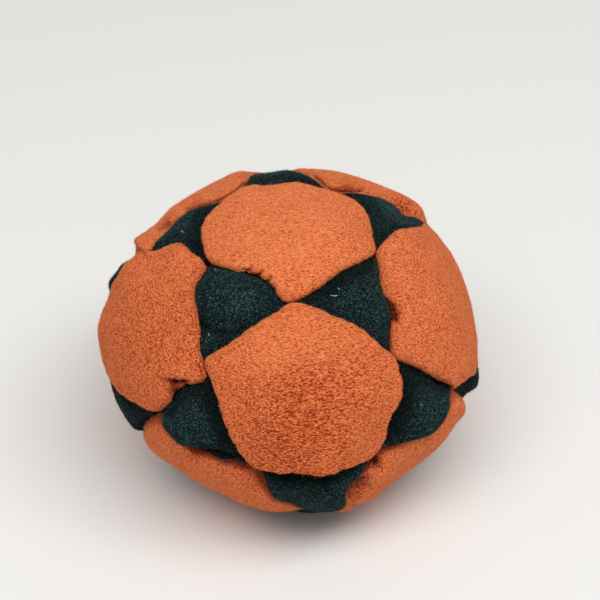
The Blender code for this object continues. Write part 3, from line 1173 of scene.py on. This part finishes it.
def make_thread(panel, material):
    """The thread round one orange panel: three strands twisted together, under the raw edges."""
    corners = inset_corners(panel.seam_corners, thread_radius + inner_clearance / 2)
    ways = border_ways(corners, thread_steps)
    deep = allowance_depth + inner_clearance + thread_radius
    path = nudged(place(ways, np.full(len(ways), -deep)))
    along = unit(after(path) - np.roll(path, 1, axis=0))
    outward = unit(ways - along * (ways * along).sum(1)[:, None])
    sideways = np.cross(along, outward)
    count = len(path)
    step = np.arange(thread_sides) / thread_sides * math.tau
    twist = np.arange(count)[:, None] / count * math.tau * round(count * thread_turn / mm)
    groove = strand_depth_share * np.cos(strand_count * step[None] - twist)
    radius = thread_radius * (1 - strand_depth_share + groove)
    out, beside = np.cos(step)[None, :, None], np.sin(step)[None, :, None]
    ring = outward[:, None] * out + sideways[:, None] * beside
    points = (path[:, None] + ring * radius[..., None]).reshape(-1, 3)
    here = np.arange(len(points)).reshape(count, thread_sides)
    far = after(here)
    triangles = quads(here, np.roll(here, -1, axis=1), np.roll(far, -1, axis=1), far)
    piece = make_piece(f"thread_{panel.name}", points, triangles, material)
    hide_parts(f"seam_thread_{panel.name}")


def sand_pad(panel):
    """The sand behind one panel: its crowned face, and the skirt down to the floor of the groove."""
    skin = cloth_thickness + inner_clearance
    groove = allowance_depth + 2 * inner_clearance + 2 * thread_radius
    sides = len(panel.corners)
    corners = inset_corners(panel.corners, skin / (1 - allowance_depth / seam_half_height))
    face = inner_face(net_ways(corners, sand_rings), panel, skin)
    face += unit(face) * (grain_height * noise(face, grain_size, panel.seed))[:, None]
    count = sides * sand_rings
    first = len(face)
    points, triangles = [face], [net_faces(sides, sand_rings)]
    for edge, start in ((corners, first), (panel.seam_corners, first + count)):
        points.append(nudged(place(border_ways(edge, sand_rings), np.full(count, -groove))))
        triangles.append(band_faces(start - count, start, count))
    return np.concatenate(points), np.concatenate(triangles)


def make_sand(panels, material):
    """The sand as one closed body, whose pads share the floors of the grooves."""
    points, triangles = joined([sand_pad(panel) for panel in panels])
    places = np.round(points / weld).astype(np.int64)
    _, first, same = np.unique(places, axis=0, return_index=True, return_inverse=True)
    triangles = same.reshape(-1)[triangles]
    whole = (triangles != np.roll(triangles, -1, axis=1)).all(1)
    piece = make_piece("sand_body", points[first], triangles[whole], material)
    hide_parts("sand_fill")


# Materials


def opaque(value):
    """A colour with full opacity, or a socket as it is."""
    return value if isinstance(value, bpy.types.NodeSocket) else (*value, 1)


class Finish:
    """A material whose nodes are added one at a time."""

    def __init__(self, name, **constants):
        self.material = bpy.data.materials.new(name)
        self.material.use_nodes = True
        self.tree = self.material.node_tree
        self.shader = self.tree.nodes["Principled BSDF"]
        for label, value in constants.items():
            self.shader.inputs[label.replace("_", " ")].default_value = value
        self.where = self.add("ShaderNodeTexCoord").outputs["Object"]

    def add(self, kind, inputs=None, **settings):
        node = self.tree.nodes.new(kind)
        for name, value in settings.items():
            setattr(node, name, value)
        for label, value in (inputs or {}).items():
            if isinstance(value, bpy.types.NodeSocket):
                self.tree.links.new(value, node.inputs[label])
            else:
                node.inputs[label].default_value = value
        return node

    def noise(self, size, detail=2.0, roughness=0.5, distortion=0.0, squeeze=None):
        where = self.where
        if squeeze:
            inputs = {0: where, 1: squeeze}
            where = self.add("ShaderNodeVectorMath", inputs, operation="MULTIPLY").outputs[0]
        inputs = {
            "Vector": where,
            "Scale": 1 / size,
            "Detail": detail,
            "Roughness": roughness,
            "Distortion": distortion,
        }
        return self.add("ShaderNodeTexNoise", inputs).outputs["Fac"]

    def math(self, operation, a, b):
        return self.add("ShaderNodeMath", {0: a, 1: b}, operation=operation).outputs[0]

    def range(self, value, low, high, to_low=0.0, to_high=1.0):
        inputs = {"Value": value, "From Min": low, "From Max": high, "To Min": to_low, "To Max": to_high}
        return self.add("ShaderNodeMapRange", inputs).outputs["Result"]

    def mix(self, share, a, b):
        inputs = {0: share, 6: opaque(a), 7: opaque(b)}
        return self.add("ShaderNodeMix", inputs, data_type="RGBA").outputs[2]

    def colour(self, socket):
        self.tree.links.new(socket, self.shader.inputs["Base Color"])

    def bump(self, height, distance):
        inputs = {"Height": height, "Distance": distance, "Strength": 1.0}
        normal = self.add("ShaderNodeBump", inputs).outputs["Normal"]
        self.tree.links.new(normal, self.shader.inputs["Normal"])


def suede(name, pit, body, tip, fleck, seam_shade, steps, clump, squeeze, sheen, sheen_tint):
    """Brushed synthetic suede: tufts of nap with dark creases between them, worn lighter in patches, with
    painted shade in its gaps and folds.
    """
    finish = Finish(name, Roughness=0.9, Specular_IOR_Level=0.1, Sheen_Weight=sheen, Sheen_Roughness=0.5)
    finish.shader.inputs["Sheen Tint"].default_value = (*sheen_tint, 1)
    nap, worn, crease, painted_shade = (
        finish.add("ShaderNodeAttribute", attribute_name=label).outputs["Fac"]
        for label in ("nap", "wear_and_painted_shade", "crease", "painted_shade")
    )
    clumps = finish.range(finish.noise(clump, 2.0, 0.7, 0.3, squeeze), *clump_span)
    height = finish.math("ADD", finish.math("MULTIPLY", nap, nap_weight), clumps)
    # The wear value lightens the nap where it is worn; its dark patches are partly painted shade
    shade = finish.math("ADD", height, finish.math("MULTIPLY", worn, wear_and_shade_weight))
    low, middle, high = steps
    # The nap's creases take the pit colour and its tufts the tip colour: partly the suede's own tone,
    # partly painted shade and painted highlight
    colour = finish.mix(finish.range(shade, low, middle), pit, body)
    colour = finish.mix(finish.range(shade, middle, high), colour, tip)
    flecks = finish.range(finish.noise(fleck_size, 0.0), *fleck_span)
    colour = finish.mix(flecks, colour, fleck)
    # Painted shade in the seam's groove and under neighbouring edges
    colour = finish.mix(finish.math("MULTIPLY", painted_shade, painted_shade_share), colour, seam_shade)
    # Painted shade in the folds, darker in the deep ones
    deep_shade = [deep_shade_share * value for value in seam_shade]
    for from_depth, to_depth, dark in ((0.10, 0.70, seam_shade), (0.45, 1.00, deep_shade)):
        share = finish.range(crease, from_depth * mm, to_depth * mm, 0.0, crease_share)
        colour = finish.mix(share, colour, dark)
    finish.colour(colour)
    finish.bump(height, nap_bump)
    return finish.material


def loose_fibre(name, root, worn):
    """Single fibres of the suede, some of them worn pale."""
    finish = Finish(name, Roughness=0.7, Specular_IOR_Level=0.2)
    share = finish.range(finish.noise(0.3 * mm, 1.0, 0.5), 0.35, 0.70)
    finish.colour(finish.mix(share, root, worn))
    return finish.material


def sand_grains():
    finish = Finish("loose_sand", Roughness=0.8)
    inputs = {"Vector": finish.where, "Scale": 1 / (0.35 * mm)}
    grains = finish.add("ShaderNodeTexVoronoi", inputs)
    finish.colour(finish.mix(grains.outputs["Color"], (0.62, 0.50, 0.33), (0.42, 0.30, 0.17)))
    finish.bump(finish.range(grains.outputs["Distance"], 0.0, 0.8, 1.0, 0.0), 0.12 * mm)
    return finish.material


def waxed_thread():
    finish = Finish("waxed_thread", Roughness=0.45)
    shade = finish.range(finish.noise(0.6 * mm, 2.0, 0.6), 0.3, 0.7)
    finish.colour(finish.mix(shade, (0.010, 0.010, 0.011), (0.030, 0.029, 0.028)))
    finish.bump(finish.noise(0.05 * mm, 1.0, 0.5), 0.02 * mm)
    return finish.material


# The stage


def make_floor():
    turns = ((-1, -1), (1, -1), (1, 1), (-1, 1))
    corners = [(x * floor_reach, y * floor_reach, 0) for x, y in turns]
    mesh = bpy.data.meshes.new("floor")
    mesh.from_pydata(corners, [], [(0, 1, 2, 3)])
    floor = add_object("floor", mesh)
    paper = Finish("pale_floor", Roughness=0.85, Specular_IOR_Level=0.2)
    paper.shader.inputs["Base Color"].default_value = (0.84, 0.84, 0.815, 1)
    mesh.materials.append(paper.material)


def make_lights():
    world = bpy.data.worlds.new("studio")
    world.use_nodes = True
    sky = world.node_tree.nodes["Background"]
    sky.inputs["Color"].default_value = (1, 1, 1, 1)
    sky.inputs["Strength"].default_value = sky_strength
    bpy.context.scene.world = world
    light = bpy.data.lights.new("softbox", "AREA")
    light.shape = "RECTANGLE"
    light.size, light.size_y = light_size
    light.energy = light_power
    item = add_object("softbox", light)
    item.location = light_stand
    aim = Vector((0, 0, centre_height)) - Vector(light_stand)
    item.rotation_euler = aim.to_track_quat("-Z", "Y").to_euler()


def make_camera():
    camera = bpy.data.cameras.new("photo_view")
    camera.sensor_width = sensor_width
    camera.lens = focal_pixels / picture_pixels * sensor_width
    camera.clip_start = near_clip
    item = add_object("photo_view", camera)
    stand = VIEWPOINT + np.array([0, 0, centre_height])
    turn = Matrix((RIGHT, UP, -AHEAD)).transposed().to_4x4()
    item.matrix_world = Matrix.Translation(Vector(stand)) @ turn
    bpy.context.scene.camera = item
    bpy.context.scene.view_settings.view_transform = "Standard"


def main():
    make_camera()
    make_lights()
    make_floor()
    orange = suede(
        "orange_suede_cloth",
        pit=(0.40, 0.045, 0.010),
        body=(0.82, 0.175, 0.050),
        tip=(0.95, 0.32, 0.130),
        fleck=(0.30, 0.035, 0.012),
        seam_shade=(0.22, 0.017, 0.005),
        steps=(0.15, 0.52, 0.98),
        clump=0.21 * mm,
        squeeze=(0.5, 1, 1),
        sheen=0.10,
        sheen_tint=(1.0, 0.55, 0.30),
    )
    green = suede(
        "green_suede_cloth",
        pit=(0.0008, 0.0025, 0.0030),
        body=(0.0070, 0.0200, 0.0215),
        tip=(0.080, 0.190, 0.180),
        fleck=(0.20, 0.28, 0.26),
        seam_shade=(0.0008, 0.0015, 0.0018),
        steps=(0.28, 0.62, 1.05),
        clump=0.20 * mm,
        squeeze=None,
        sheen=0.03,
        sheen_tint=(0.30, 0.6, 0.6),
    )
    orange_fibre = loose_fibre("orange_fibre", (0.80, 0.20, 0.06), (0.95, 0.45, 0.22))
    green_fibre = loose_fibre("green_fibre", (0.012, 0.032, 0.034), (0.10, 0.20, 0.19))
    pale_lint = loose_fibre("pale_lint", (0.50, 0.47, 0.42), (0.80, 0.78, 0.72))
    thread = waxed_thread()
    strands, panels = [], []
    greens = green_layout()
    kinds = ((orange_layout(), ORANGE, orange, orange_fibre), (greens, GREEN, green, green_fibre))
    for layout, form, material, fibre_material in kinds:
        tufts = []
        for name, middle, corners in layout:
            panel = panel_facts(name, middle, corners, form, len(panels) + 1, greens)
            tuft, pale = make_panel(panel, material)
            tufts.append(tuft)
            strands.extend(pale)
            panels.append(panel)
            if form is ORANGE:
                make_thread(panel, thread)
        make_loose(f"nap_{form.colour}", tufts, fibre_material)
    make_loose("lint", strands, pale_lint)
    make_sand(panels, sand_grains())
    bpy.context.view_layer.update()


main()
